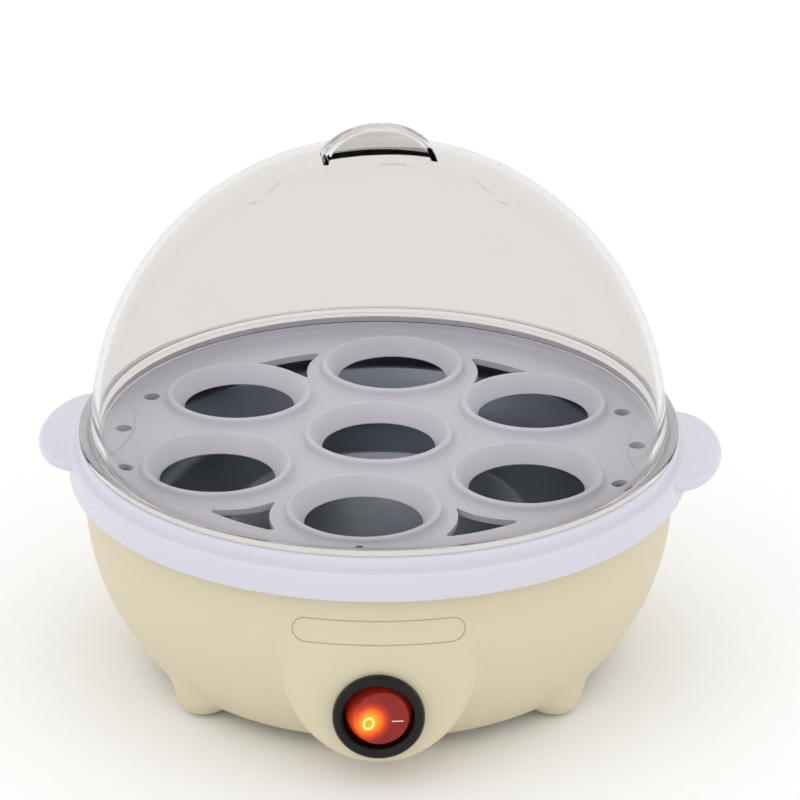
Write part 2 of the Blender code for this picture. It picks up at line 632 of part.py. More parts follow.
def make_egg_tray(root, white):
    tray_axis = new_empty("tray_axis", root, turn=TRAY_TURN)
    under = TRAY_PLATE - TRAY_SHEET
    band = 60.6 * MM
    profile = [(0, TRAY_PLATE), (TRAY_WELL - 0.6 * MM, TRAY_PLATE), (TRAY_WELL + 0.2 * MM, TRAY_PLATE + 0.6 * MM),
               (TRAY_WELL + 0.5 * MM, TRAY_RIM - 0.4 * MM), (TRAY_WELL + 0.9 * MM, TRAY_RIM),
               (78.6 * MM, TRAY_RIM), (79.0 * MM, TRAY_RIM - 0.4 * MM), (79.4 * MM, band)]
    profile += arc((TRAY_OUTER - 1.3 * MM, band - 1.0 * MM), 1.3 * MM, 90, 0, 3)
    profile += [(TRAY_OUTER - 0.3 * MM, TRAY_SKIRT), (79.7 * MM, TRAY_SKIRT), (79.6 * MM, BOWL_TOP + GAP),
                (TRAY_WELL, BOWL_TOP + GAP), (TRAY_WELL, under), (0, under)]
    tray = add_object("egg_tray", turned_mesh("egg_tray", profile), white, tray_axis)
    for side in (-1, 1):
        ear = outline_mesh("tray_ear", arc((side * EAR_CENTRE, 0), (EAR_REACH, EAR_HALF), 0, 340, 17), 2.4 * MM)
        combine(tray, "UNION", ear, (0, 0, band - 1.4 * MM))
    # The ears' inner halves are cleared from under the rim
    keep_ring = [(79.6 * MM, BOWL_TOP + GAP), (79.6 * MM, TRAY_SKIRT - 2 * MM),
                 (TRAY_WELL, TRAY_SKIRT - 2 * MM), (TRAY_WELL, BOWL_TOP + GAP)]
    combine(tray, "DIFFERENCE", turned_mesh("skirt_hollow", keep_ring, closed=True))
    seats = [(0, 0)] + [polar(SEAT_RING, -90 + 60 * step)[:2] for step in range(6)]
    collars = [(x, y, TRAY_PLATE - 1 * MM, SEAT_TOP, SEAT_COLLAR, SEAT_COLLAR - 1.8 * MM) for x, y in seats]
    combine(tray, "UNION", cylinders_mesh("seat_collars", collars, sides=20))
    cups = [(x, y, under - 1 * MM, SEAT_TOP + 0.5 * MM, SEAT_HOLE - 0.6 * MM, SEAT_HOLE + 2.6 * MM) for x, y in seats]
    combine(tray, "DIFFERENCE", cylinders_mesh("seat_cups", cups, sides=20))
    for degrees in (-120, -60, 60, 120):
        window = outline_mesh("steam_window", window_outline(), 10 * MM)
        combine(tray, "DIFFERENCE", window, (0, 0, TRAY_PLATE), (0, 0, math.radians(degrees)))
    holes = []
    for degrees in (-20, 0, 20, 160, 180, 200):
        x, y, _ = polar(68 * MM, degrees)
        holes.append((x, y, under - 1 * MM, TRAY_PLATE + 1 * MM, 2.25 * MM, 2.25 * MM))
    combine(tray, "DIFFERENCE", cylinders_mesh("drip_holes", holes))


def grip_mesh(name, wall, foot):
    # A half-moon from the front and a pinched wedge from its end
    half, rise = GRIP_HALF - wall, GRIP_RISE - wall
    moon = arc((0, 0), (half, rise), 0, 180, 16) + [(-half, -foot), (half, -foot)]
    side = [(max(thick - wall, 0.3 * MM), height - wall) for thick, height in GRIP_SIDE]
    side = [(side[0][0], -foot - 1 * MM)] + side[1:]
    side += [(-thick, height) for thick, height in reversed(side)]
    body = add_object(name, outline_mesh(name + "_moon", moon, 16 * MM), None, None)
    keep = outline_mesh(name + "_side", side, 40 * MM)
    keep = add_object(name + "_keep", keep, None, None, rotation=(0, math.pi / 2, 0))
    step = body.modifiers.new("Keep", "BOOLEAN")
    step.operation = "INTERSECT"
    step.object = keep
    mesh = mesh_of(body)
    bpy.data.objects.remove(keep, do_unlink=True)
    mesh.name = name
    return mesh


def make_lid(root, clear):
    seat = TRAY_RIM + GAP
    spigot = 1.4 * MM
    outside = arc((0, seat), DOME_RADIUS, 90, 3, 10)
    outside += [(FLANGE_RADIUS - 0.6 * MM, seat + 1.8 * MM), (FLANGE_RADIUS, seat + 1.2 * MM), (FLANGE_RADIUS, seat),
                (TRAY_WELL - 0.3 * MM, seat), (TRAY_WELL - 0.3 * MM, seat - spigot), (0, seat - spigot)]
    outside[0] = (0, seat + DOME_RADIUS)
    lid = add_object("lid", turned_mesh("lid", outside), clear, root)
    foot = (0, 0, seat + GRIP_FOOT)
    upright = (math.pi / 2, 0, GRIP_TURN)
    combine(lid, "UNION", grip_mesh("grip_block", 0, 0), foot, upright)
    inside = [(0, seat + DOME_RADIUS - DOME_WALL)] + arc((0, seat), DOME_RADIUS - DOME_WALL, 90, 0, 10)[1:]
    inside += [(DOME_RADIUS - DOME_WALL, seat - spigot - 1 * MM), (0, seat - spigot - 1 * MM)]
    combine(lid, "DIFFERENCE", turned_mesh("lid_hollow", inside))
    combine(lid, "DIFFERENCE", grip_mesh("grip_core", GRIP_WALL, 6 * MM), foot, upright)
    left, right = STEAM_SLOT
    slot = arc((right - STEAM_SLOT_HALF, -STEAM_SLOT_OUT), STEAM_SLOT_HALF, -90, 90, 4)
    slot += arc((left + STEAM_SLOT_HALF, -STEAM_SLOT_OUT), STEAM_SLOT_HALF, 90, 270, 4)
    combine(lid, "DIFFERENCE", outline_mesh("steam_slot", slot, 16 * MM), foot, (0, 0, GRIP_TURN))


clear_scene()
PARTS = new_collection("egg_cooker")
CUTTERS = new_collection("cutters")


def build():
    cream = plastic("cream_plastic", (0.66, 0.60, 0.43), 0.38)
    white = plastic("lilac_white_plastic", (0.72, 0.72, 0.84), 0.3)
    clear = plastic("clear_plastic", (0.95, 0.95, 0.94), 0.05, alpha=0.2)
    black = plastic("black_nylon", (0.02, 0.02, 0.02), 0.35)
    red = plastic("red_translucent_plastic", (0.8, 0.08, 0.02), 0.2)
    silicone = plastic("grey_silicone", (0.35, 0.35, 0.36), 0.6)
    nylon = plastic("natural_nylon", (0.8, 0.78, 0.7), 0.5)
    sleeve = plastic("glass_fibre_sleeve", (0.75, 0.75, 0.72), 0.8)
    brown = plastic("brown_wire", (0.16, 0.06, 0.03), 0.45)
    blue = plastic("blue_wire", (0.03, 0.1, 0.4), 0.45)
    glass = plastic("lamp_glass", (0.95, 0.6, 0.3), 0.05)
    steel = metal("stainless_steel", (0.55, 0.56, 0.58), 0.3)
    zinc = metal("zinc_plated_steel", (0.6, 0.6, 0.58), 0.35)
    brass = metal("tinned_brass", (0.75, 0.68, 0.45), 0.3)

    root = new_empty("appliance_axis", location=(0, AXIS_Y, 0))
    make_base_bowl(root, cream)
    make_base_cover(root, cream)
    make_screws(root, zinc)
    make_heating_plate(root, steel)
    make_plate_gasket(root, silicone)
    make_plate_brackets(root, zinc)
    make_element(root, steel, brass)
    make_thermostat(root, black, zinc)
    make_thermostat_tabs(root, brass)
    make_fuse(root, sleeve, zinc)
    make_switch(root, black, red, glass, brass)
    make_gland(root, black)
    make_terminal_block(root, nylon, zinc)
    make_wires(root, brown, blue)
    make_egg_tray(root, white)
    make_lid(root, clear)
    bpy.context.view_layer.update()


build()
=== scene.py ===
import json
import math

import bmesh
import bpy
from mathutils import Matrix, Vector


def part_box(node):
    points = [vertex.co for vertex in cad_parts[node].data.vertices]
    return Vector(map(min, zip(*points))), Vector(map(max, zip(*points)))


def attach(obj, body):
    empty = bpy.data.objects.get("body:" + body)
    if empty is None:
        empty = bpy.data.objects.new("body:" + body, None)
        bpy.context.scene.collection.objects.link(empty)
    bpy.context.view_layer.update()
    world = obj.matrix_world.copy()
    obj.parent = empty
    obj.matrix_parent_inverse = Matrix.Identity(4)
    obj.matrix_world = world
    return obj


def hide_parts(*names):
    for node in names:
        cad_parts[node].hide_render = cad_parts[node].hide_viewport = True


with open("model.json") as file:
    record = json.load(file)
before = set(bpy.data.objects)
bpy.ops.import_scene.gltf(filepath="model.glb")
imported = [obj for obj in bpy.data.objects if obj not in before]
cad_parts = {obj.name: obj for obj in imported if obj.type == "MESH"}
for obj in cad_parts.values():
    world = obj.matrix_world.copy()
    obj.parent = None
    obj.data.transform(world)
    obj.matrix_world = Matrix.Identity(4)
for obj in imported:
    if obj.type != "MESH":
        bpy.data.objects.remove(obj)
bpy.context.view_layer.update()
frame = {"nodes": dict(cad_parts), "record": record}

mm = 0.001                                  # every length below is in millimetres


def nodeBox(node):
    low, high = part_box(node)
    return low / mm, high / mm


lidLow, lidHigh = nodeBox("lid")
bowlHigh = nodeBox("base_bowl")[1]
trayLow, trayHigh = nodeBox("egg_tray")
switchHigh = nodeBox("switch_body")[1]
plateHigh = nodeBox("heating_plate")[1]
glandHigh = nodeBox("cord_gland")[1]
axisY = (lidLow.y + lidHigh.y) / 2          # the bowl, tray and lid all turn about this upright line


# The few moves that every piece is made with

def startFresh(obj=None):
    if bpy.context.mode != "OBJECT":
        bpy.ops.object.mode_set(mode="OBJECT")
    bpy.ops.object.select_all(action="DESELECT")
    if obj:
        obj.select_set(True)
        bpy.context.view_layer.objects.active = obj


def place(obj, location=(0, 0, 0), turn=(0, 0, 0)):
    # turned first, then moved, and both are put into the mesh
    startFresh(obj)
    obj.rotation_euler = [math.radians(angle) for angle in turn]
    obj.location = Vector(location) * mm
    bpy.ops.object.transform_apply(location=True, rotation=True, scale=True)
    return obj


def useModifier(obj, kind, **settings):
    startFresh(obj)
    modifier = obj.modifiers.new(kind.title(), kind)
    for key, value in settings.items():
        setattr(modifier, key, value)
    bpy.ops.object.modifier_apply(modifier=modifier.name)
    return obj


def combine(obj, other, operation="DIFFERENCE"):
    useModifier(obj, "BOOLEAN", object=other, operation=operation, solver="EXACT")
    bpy.data.objects.remove(other, do_unlink=True)
    return obj


def softenEdges(obj, width, segments=2, angle=40):
    return useModifier(obj, "BEVEL", width=width * mm, segments=segments, limit_method="ANGLE",
                       angle_limit=math.radians(angle), miter_outer="MITER_ARC")


def roundPoints(centre, radius, startAngle, endAngle, steps):
    across, up = radius if isinstance(radius, tuple) else (radius, radius)
    points = []
    for step in range(steps + 1):
        angle = math.radians(startAngle + (endAngle - startAngle) * step / steps)
        points.append((centre[0] + across * math.cos(angle), centre[1] + up * math.sin(angle)))
    return points


def turnRing(name, profile, sides=160):
    # a ring of edges is extruded and resized from each (radius, height) of the profile to the next
    startFresh()
    pole = 0.02                             # a profile point on the axis starts as a tiny ring, merged at the end
    steps = [(max(radius, pole), height) for radius, height in profile]
    bpy.ops.mesh.primitive_circle_add(vertices=sides, radius=steps[0][0] * mm, location=(0, 0, steps[0][1] * mm))
    obj = bpy.context.object
    obj.name = name
    bpy.ops.object.mode_set(mode="EDIT")
    bpy.ops.mesh.select_all(action="SELECT")
    for (radius, height), (nextRadius, nextHeight) in zip(steps, steps[1:]):
        ratio = nextRadius / radius
        bpy.ops.mesh.extrude_edges_move(TRANSFORM_OT_translate={"value": (0, 0, (nextHeight - height) * mm)})
        bpy.ops.transform.resize(value=(ratio, ratio, 1), center_override=(0, 0, nextHeight * mm))
    bpy.ops.mesh.select_all(action="SELECT")
    bpy.ops.mesh.remove_doubles(threshold=2.2 * pole * mm)
    bpy.ops.mesh.normals_make_consistent(inside=False)
    bpy.ops.object.mode_set(mode="OBJECT")
    return settle(obj)


def settle(obj):
    startFresh(obj)
    bpy.ops.object.transform_apply(location=True, rotation=True, scale=True)
    return obj


def rod(name, radius, low, high, x=0, y=0, sides=48, topRadius=None):
    startFresh()
    bpy.ops.mesh.primitive_cone_add(vertices=sides, radius1=radius * mm, depth=(high - low) * mm,
                                    radius2=(radius if topRadius is None else topRadius) * mm,
                                    location=(x * mm, y * mm, (low + high) / 2 * mm))
    obj = bpy.context.object
    obj.name = name
    return settle(obj)


def joinAll(pieces):
    startFresh()
    for piece in pieces:
        piece.select_set(True)
    bpy.context.view_layer.objects.active = pieces[0]
    bpy.ops.object.join()
    return pieces[0]


def twin(obj, location=(0, 0, 0), turn=(0, 0, 0)):
    # a copy with a mesh of its own
    startFresh(obj)
    bpy.ops.object.duplicate(linked=False)
    return place(bpy.context.object, location, turn)


def flatBlock(name, outline, low, high):
    # an outline in X and Y, filled and extruded up from low to high
    startFresh()
    bpy.ops.mesh.primitive_circle_add(vertices=len(outline), radius=1)
    obj = bpy.context.object
    obj.name = name
    for vertex, (x, y) in zip(obj.data.vertices, outline):
        vertex.co = (x * mm, y * mm, low * mm)
    bpy.ops.object.mode_set(mode="EDIT")
    bpy.ops.mesh.select_all(action="SELECT")
    bpy.ops.mesh.edge_face_add()
    bpy.ops.mesh.extrude_region_move(TRANSFORM_OT_translate={"value": (0, 0, (high - low) * mm)})
    bpy.ops.mesh.select_all(action="SELECT")
    bpy.ops.mesh.normals_make_consistent(inside=False)
    bpy.ops.object.mode_set(mode="OBJECT")
    return obj


def finishPiece(obj, material, body, slotName, *nodes, angle=30):
    startFresh(obj)
    bpy.ops.object.mode_set(mode="EDIT")
    bpy.ops.mesh.select_all(action="SELECT")
    bpy.ops.mesh.remove_doubles(threshold=0.001 * mm)
    bpy.ops.object.mode_set(mode="OBJECT")
    bpy.ops.object.shade_smooth_by_angle(angle=math.radians(angle))
    obj.data.materials.clear()
    obj.data.materials.append(material)
    for face in obj.data.polygons:
        face.material_index = 0
    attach(obj, body)
    if nodes:
        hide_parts(*nodes)
    print("made", obj.name, len(obj.data.polygons), "faces")
    return obj


# Material helpers

def hexColour(code):
    channels = [int(code[i:i + 2], 16) / 255 for i in (1, 3, 5)]
    linear = [c / 12.92 if c <= 0.04045 else ((c + 0.055) / 1.055) ** 2.4 for c in channels]
    return (*linear, 1.0)


def addNode(tree, kind, settings=None, links=None):
    # settings: a property by its name, or an input by its name or number; links: input -> output
    node = tree.nodes.new(kind)
    for key, value in (settings or {}).items():
        if isinstance(key, str) and hasattr(node, key):
            setattr(node, key, value)
        else:
            node.inputs[key].default_value = value
    for key, source in (links or {}).items():
        tree.links.new(source, node.inputs[key])
    return node


def newMaterial(name, **values):
    # a new material whose shader already has its plain values, and its Object coordinates
    material = bpy.data.materials.new(name)
    material.use_nodes = True
    tree = material.node_tree
    shader = tree.nodes["Principled BSDF"]
    for key, value in values.items():
        shader.inputs[key.replace("_", " ")].default_value = value
    return material, tree, shader, addNode(tree, "ShaderNodeTexCoord").outputs["Object"]


def clearPolystyrene():
    # crystal polystyrene, injection moulded: colourless and glossy, with faint flow waves and hairline wipe marks
    material, tree, shader, place = newMaterial("clear polystyrene, injection moulded", IOR=1.12,
                                                Base_Color=hexColour("#eeecea"), Transmission_Weight=1.0)
    flow = addNode(tree, "ShaderNodeTexNoise", {"Scale": 24.0, "Detail": 2.0, "Distortion": 0.6}, {"Vector": place})
    stretch = addNode(tree, "ShaderNodeMapping", {"Scale": (1.0, 1.0, 0.12)}, {"Vector": place})
    wipes = addNode(tree, "ShaderNodeTexNoise", {"Scale": 900.0, "Detail": 2.0}, {"Vector": stretch.outputs[0]})
    gloss = addNode(tree, "ShaderNodeMapRange", {"From Min": 0.62, "From Max": 0.82, "To Min": 0.0, "To Max": 0.08},
                    {"Value": wipes.outputs["Fac"]})
    bump = addNode(tree, "ShaderNodeBump", {"Strength": 0.04, "Distance": 0.4 * mm}, {"Height": flow.outputs["Fac"]})
    tree.links.new(gloss.outputs[0], shader.inputs["Roughness"])
    tree.links.new(bump.outputs[0], shader.inputs["Normal"])
    # lamps shine through the thin wall instead of casting a solid shadow
    path = addNode(tree, "ShaderNodeLightPath")
    passing = addNode(tree, "ShaderNodeBsdfTransparent", {"Color": hexColour("#ffffff")})
    mix = addNode(tree, "ShaderNodeMixShader", links={0: path.outputs["Is Shadow Ray"],
                                                      1: shader.outputs[0], 2: passing.outputs[0]})
    tree.links.new(mix.outputs[0], tree.nodes["Material Output"].inputs["Surface"])
    return material


def mouldedPlastic(name, light, dark, roughness, grain, depth, ior=1.49, soft=0.05):
    # a moulded skin: fine eroded-tool grain, faint clouds in the pigment, a gloss that varies with the grain
    material, tree, shader, place = newMaterial(name, IOR=ior, Subsurface_Weight=soft,
                                                Subsurface_Radius=(1.0, 0.8, 0.6), Subsurface_Scale=1.2 * mm)
    cloud = addNode(tree, "ShaderNodeTexNoise", {"Scale": 18.0, "Detail": 3.0, "Roughness": 0.55}, {"Vector": place})
    tint = addNode(tree, "ShaderNodeMix", {"data_type": "RGBA", 6: hexColour(light), 7: hexColour(dark)},
                   {0: cloud.outputs["Fac"]})
    skin = addNode(tree, "ShaderNodeTexNoise", {"Scale": 1.0 / (grain * mm), "Detail": 2.0, "Roughness": 0.6},
                   {"Vector": place})
    gloss = addNode(tree, "ShaderNodeMapRange", {"From Min": 0.3, "From Max": 0.7, "To Min": roughness - 0.05,
                                                 "To Max": roughness + 0.06}, {"Value": skin.outputs["Fac"]})
    bump = addNode(tree, "ShaderNodeBump", {"Strength": 0.35, "Distance": depth * mm},
                   {"Height": skin.outputs["Fac"]})
    tree.links.new(tint.outputs[2], shader.inputs["Base Color"])
    tree.links.new(gloss.outputs[0], shader.inputs["Roughness"])
    tree.links.new(bump.outputs[0], shader.inputs["Normal"])
    return material


def drawnStainless(name, light, dark, ringPitch):
    # stainless sheet drawn on a press and spun clean: fine rings round the centre and a faint heat tint
    material, tree, shader, place = newMaterial(name, Metallic=1.0)
    centred = addNode(tree, "ShaderNodeMapping", {"Location": (0, -axisY * mm, 0)}, {"Vector": place})
    rings = addNode(tree, "ShaderNodeTexWave", {"wave_type": "RINGS", "rings_direction": "Z", "Distortion": 1.2,
                                                "Scale": 0.314 / (ringPitch * mm), "Detail": 2.0},
                    {"Vector": centred.outputs[0]})
    cloud = addNode(tree, "ShaderNodeTexNoise", {"Scale": 45.0, "Detail": 4.0}, {"Vector": place})
    tint = addNode(tree, "ShaderNodeMix", {"data_type": "RGBA", 6: hexColour(light), 7: hexColour(dark)},
                   {0: cloud.outputs["Fac"]})
    gloss = addNode(tree, "ShaderNodeMapRange", {"To Min": 0.26, "To Max": 0.42}, {"Value": cloud.outputs["Fac"]})
    bump = addNode(tree, "ShaderNodeBump", {"Strength": 0.12, "Distance": 0.04 * mm},
                   {"Height": rings.outputs["Fac"]})
    tree.links.new(tint.outputs[2], shader.inputs["Base Color"])
    tree.links.new(gloss.outputs[0], shader.inputs["Roughness"])
    tree.links.new(bump.outputs[0], shader.inputs["Normal"])
    return material


def platedMetal(name, light, dark, roughness, grain):
    # thin bright plating over a pressed part: small cloudy patches that are a little duller
    material, tree, shader, place = newMaterial(name, Metallic=1.0)
    patch = addNode(tree, "ShaderNodeTexNoise", {"Scale": 1.0 / (grain * mm), "Detail": 4.0}, {"Vector": place})
    tint = addNode(tree, "ShaderNodeMix", {"data_type": "RGBA", 6: hexColour(light), 7: hexColour(dark)},
                   {0: patch.outputs["Fac"]})
    gloss = addNode(tree, "ShaderNodeMapRange", {"To Min": roughness, "To Max": roughness + 0.16},
                    {"Value": patch.outputs["Fac"]})
    tree.links.new(tint.outputs[2], shader.inputs["Base Color"])
    tree.links.new(gloss.outputs[0], shader.inputs["Roughness"])
    return material


cream = mouldedPlastic("cream polypropylene, moulded", "#dad0b4", "#d6caac", 0.42, 0.45, 0.02)
lilacWhite = mouldedPlastic("lilac white polypropylene, moulded", "#d6d6e1", "#d1d0dc", 0.3, 0.5, 0.004)
blackNylon = mouldedPlastic("black nylon, moulded", "#151516", "#0f0f10", 0.34, 0.35, 0.03, ior=1.33, soft=0.0)
clearShell = clearPolystyrene()
panSteel = drawnStainless("stainless steel, deep drawn", "#9aa2ad", "#7c8590", 0.6)


# Base bowl: one ring of cream plastic whose side swells into the switch housing, the feet and the cord pad

bowlSizes = {
    "radius": bowlHigh.x, "waist": 46.0, "drop": 69.0, "top": bowlHigh.z, "floor": 3.4, "wall": 2.2,
    "rimInner": 75.5, "ledgeTop": 49.6, "ledgeUnder": 47.6, "ledgeInner": 68.0,
    "lipInner": 44.5, "lipTop": 7.9, "recessTop": 5.9, "recessRadius": 52.2, "sideEnd": 6.0,
    "housingHalf": 24.0, "housingFloor": 7.0, "housingTop": 46.0, "housingLean": 1.6, "housingEdge": 1.8,
    "footX": 45.5, "footY": 38.0, "footRadius": 7.2, "footEdge": 5.2, "footBlend": 3.4,
    "padRadius": 9.0, "padFace": 75.5, "padHeight": 24.0,
    "switchHeight": 20.5, "spotFace": 77.8, "spotRadius": 11.9, "switchHole": 10.3, "glandHole": 5.3,
    "bossRings": ((49.0, (45, 135, 225, 315), 6.6, 15.0, 3.4), (70.0, (90, 210, 330), 40.3, 48.6, 3.6)),
}


def bowlRadius(height):
    below = max(bowlSizes["waist"] - height, 0)
    return bowlSizes["radius"] * math.sqrt(1 - (below / bowlSizes["drop"]) ** 2)


def blendLow(a, b, width):
    # the lower of two distances, rounded where they are within width of each other
    near = max(width - abs(a - b), 0) / width if width > 0.01 else 0
    return min(a, b) - near * near * width / 4


def swelling(x, y, z, distance):
    # distance outside the bowl's side once the housing, feet and pad have been blended on to it
    s = bowlSizes
    ring = math.hypot(x, y)
    if y < 0 and z < s["housingTop"] + 2 and ring > 58:
        middle = s["housingFloor"] + s["housingHalf"]
        across = abs(x) - s["housingHalf"] if z > middle else math.hypot(x, z - middle) - s["housingHalf"]
        lean = s["housingLean"] * (s["housingTop"] - z) / s["housingTop"]
        proud = s["radius"] + lean - bowlRadius(z)
        housing = -blendLow(-across, s["radius"] + lean - ring, s["housingEdge"])
        distance = blendLow(distance, housing, min(max(1.1 * proud, 0), 5.0))
    if z < 22:
        reach = math.hypot(abs(x) - s["footX"], abs(y) - s["footY"]) - (s["footRadius"] - s["footEdge"])
        drop = s["footEdge"] - z
        foot = math.hypot(max(reach, 0), max(drop, 0)) + min(max(reach, drop), 0) - s["footEdge"]
        distance = blendLow(distance, foot, s["footBlend"])
    if y > 0:
        pad = -blendLow(s["padRadius"] - math.hypot(x, z - s["padHeight"]), s["padFace"] - y, 0.8)
        distance = blendLow(distance, pad, 1.5)
    return distance


def travelOut(radius, height, outX, outZ, cos, sin):
    # from a point of the bowl's side, straight out to the blended surface
    travel = 0.0
    for _ in range(40):
        ring, z = radius + outX * travel, height + outZ * travel
        gap = swelling(ring * cos, ring * sin, z, travel)
        if gap > -0.002:
            break
        travel -= gap * 0.8
    return travel


def makeBowl():
    s = bowlSizes
    rows = []                               # (radius, height, outward radius, outward height)
    steps = 46
    heights = [s["top"] - 0.6, 55, 52, 49]
    heights += [s["waist"] - (s["waist"] - s["sideEnd"]) * i / steps for i in range(steps + 1)]
    for z in heights:
        below = max(s["waist"] - z, 0)
        normal = Vector((bowlRadius(z) / s["radius"] ** 2, -below / s["drop"] ** 2)).normalized()
        rows.append((bowlRadius(z), z, normal.x, normal.y))
    # the corner starts along the side and ends along the floor
    radius, height, outX, outZ = rows[-1]
    corner = (height - s["floor"]) / (1 + outZ)
    centre = (radius - corner * outX, s["floor"] + corner)
    first = math.degrees(math.asin(outZ))
    for turn in [first + (-90 - first) * (i + 1) / 9 for i in range(9)]:
        outX, outZ = math.cos(math.radians(turn)), math.sin(math.radians(turn))
        rows.append((centre[0] + corner * outX, centre[1] + corner * outZ, outX, outZ))
    rows += [(centre[0] - 0.8 * (i + 1), s["floor"], 0, -1) for i in range(5)]
    outsideRows = len(rows)
    inner = [(s["recessRadius"] + 0.3, s["floor"]), (s["recessRadius"], s["floor"] + 0.3),
             (s["recessRadius"], s["recessTop"]), (s["lipInner"] + 0.4, s["recessTop"]),
             (s["lipInner"], s["recessTop"] + 0.4), (s["lipInner"], s["lipTop"]), (57.0, s["lipTop"])]
    high = s["waist"] - 1
    inner += [(bowlRadius(z) - s["wall"], z) for z in [10 + (high - 10) * i / 14 for i in range(15)]]
    inner += [(s["ledgeInner"] + 2.2, high + 1.6), (s["ledgeInner"] + 0.4, s["ledgeUnder"]),
              (s["ledgeInner"], s["ledgeUnder"] + 0.4), (s["ledgeInner"], s["ledgeTop"] - 0.4),
              (s["ledgeInner"] + 0.4, s["ledgeTop"]), (s["rimInner"], s["ledgeTop"]),
              (s["rimInner"], s["top"] - 0.5), (s["rimInner"] + 0.5, s["top"]), (s["radius"] - 0.6, s["top"])]
    wallRows = range(outsideRows + 8, outsideRows + 20)
    rows += [(radius, height, 0, 0) for radius, height in inner]

    # the columns stand closer together where the shape swells
    angles, angle = [], -180.0
    while angle < 180 - 0.2:
        angles.append(angle)
        nearFoot = min(abs(abs(angle) - turn) for turn in (40, 140))
        angle += 0.32 if abs(angle + 90) < 24 else 0.45 if nearFoot < 10 or abs(angle - 90) < 9 else 1.2
    work = bmesh.new()
    grid = []
    for number, (radius, height, outX, outZ) in enumerate(rows):
        ringVerts = []
        for angle in angles:
            cos, sin = math.cos(math.radians(angle)), math.sin(math.radians(angle))
            if number in wallRows and sin < 0:      # the wall inside the housing keeps its thickness
                travel = travelOut(radius, height, 1, 0, cos, sin)
                ring, z = radius + max(travel - s["wall"] * min(travel / 2, 1), 0), height
            else:
                travel = travelOut(radius, height, outX, outZ, cos, sin) if outX or outZ else 0
                ring, z = radius + outX * travel, max(height + outZ * travel, 0)
            ringVerts.append(work.verts.new((ring * cos * mm, ring * sin * mm, z * mm)))
        grid.append(ringVerts)
    for upper, lower in zip(grid, grid[1:] + grid[:1]):
        for column in range(len(angles)):
            beside = (column + 1) % len(angles)
            work.faces.new((upper[column], upper[beside], lower[beside], lower[column]))
    bmesh.ops.recalc_face_normals(work, faces=work.faces)
    mesh = bpy.data.meshes.new("bowl_side")
    work.to_mesh(mesh)
    work.free()
    bowl = bpy.data.objects.new("bowl_shell", mesh)
    bpy.context.collection.objects.link(bowl)

    spot = place(rod("spot", s["spotRadius"], 0, 8, sides=96), (0, -s["spotFace"], s["switchHeight"]), (90, 0, 0))
    combine(bowl, spot)
    hole = place(rod("hole", s["switchHole"], -14, 6, sides=96), (0, -s["spotFace"], s["switchHeight"]), (90, 0, 0))
    combine(bowl, hole)
    combine(bowl, place(rod("hole", s["glandHole"], -8, 4, sides=48), (0, s["padFace"], s["padHeight"]), (-90, 0, 0)))
    for ring, turns, low, high, radius in s["bossRings"]:
        spots = [(ring * math.cos(math.radians(turn)), ring * math.sin(math.radians(turn))) for turn in turns]
        combine(bowl, joinAll([rod("boss", radius, low, high, x, y, 24) for x, y in spots]), "UNION")
        combine(bowl, joinAll([rod("drill", 1.8, low - 1, high - 1.5, x, y, 20) for x, y in spots]))
    place(bowl, (0, axisY, 0))
    return finishPiece(bowl, cream, "base", "cream_plastic", "base_bowl", angle=38)


# Egg tray: a dished plate with a raised rim, seven egg seats, four steam windows and two ears

traySizes = {
    "turn": -4.7, "plate": 59.5, "sheet": 1.8, "well": 75.0, "rim": trayHigh.z, "band": 60.6,
    "outer": 81.36, "skirt": trayLow.z, "bowlTop": bowlHigh.z + 0.3,
    "seatRing": 46.0, "seatHole": 16.0, "collar": 20.5, "collarTop": 62.4,
    "earCentre": 77.6, "earReach": 12.2, "earHalf": 23.5, "earThick": 2.4,
    "windowTurns": (-120, -60, 60, 120), "windowRing": 61.3, "windowClear": 23.6,
    "dripRing": 68.0, "dripTurns": (-20, 0, 20, 160, 180, 200), "dripRadius": 2.25,
}


def windowOutline():
    # between two neighbouring seats: two sides follow the seats, the third the tray's edge; it points along X
    s = traySizes
    clear, outer = s["windowClear"], s["windowRing"]
    seatX, seatY = s["seatRing"] * math.cos(math.pi / 6), s["seatRing"] * math.sin(math.pi / 6)
    tip = math.degrees(math.asin(seatY / clear))
    reach = math.acos((outer ** 2 + s["seatRing"] ** 2 - clear ** 2) / (2 * outer * s["seatRing"]))
    half = math.pi / 6 - reach
    corner = math.degrees(math.atan2(seatY - outer * math.sin(half), outer * math.cos(half) - seatX))
    lower = roundPoints((seatX, -seatY), clear, tip - 2, corner + 4, 12)
    rim = roundPoints((0, 0), outer, -math.degrees(half) + 2, math.degrees(half) - 2, 8)
    return lower + rim + [(x, -y) for x, y in reversed(lower)]


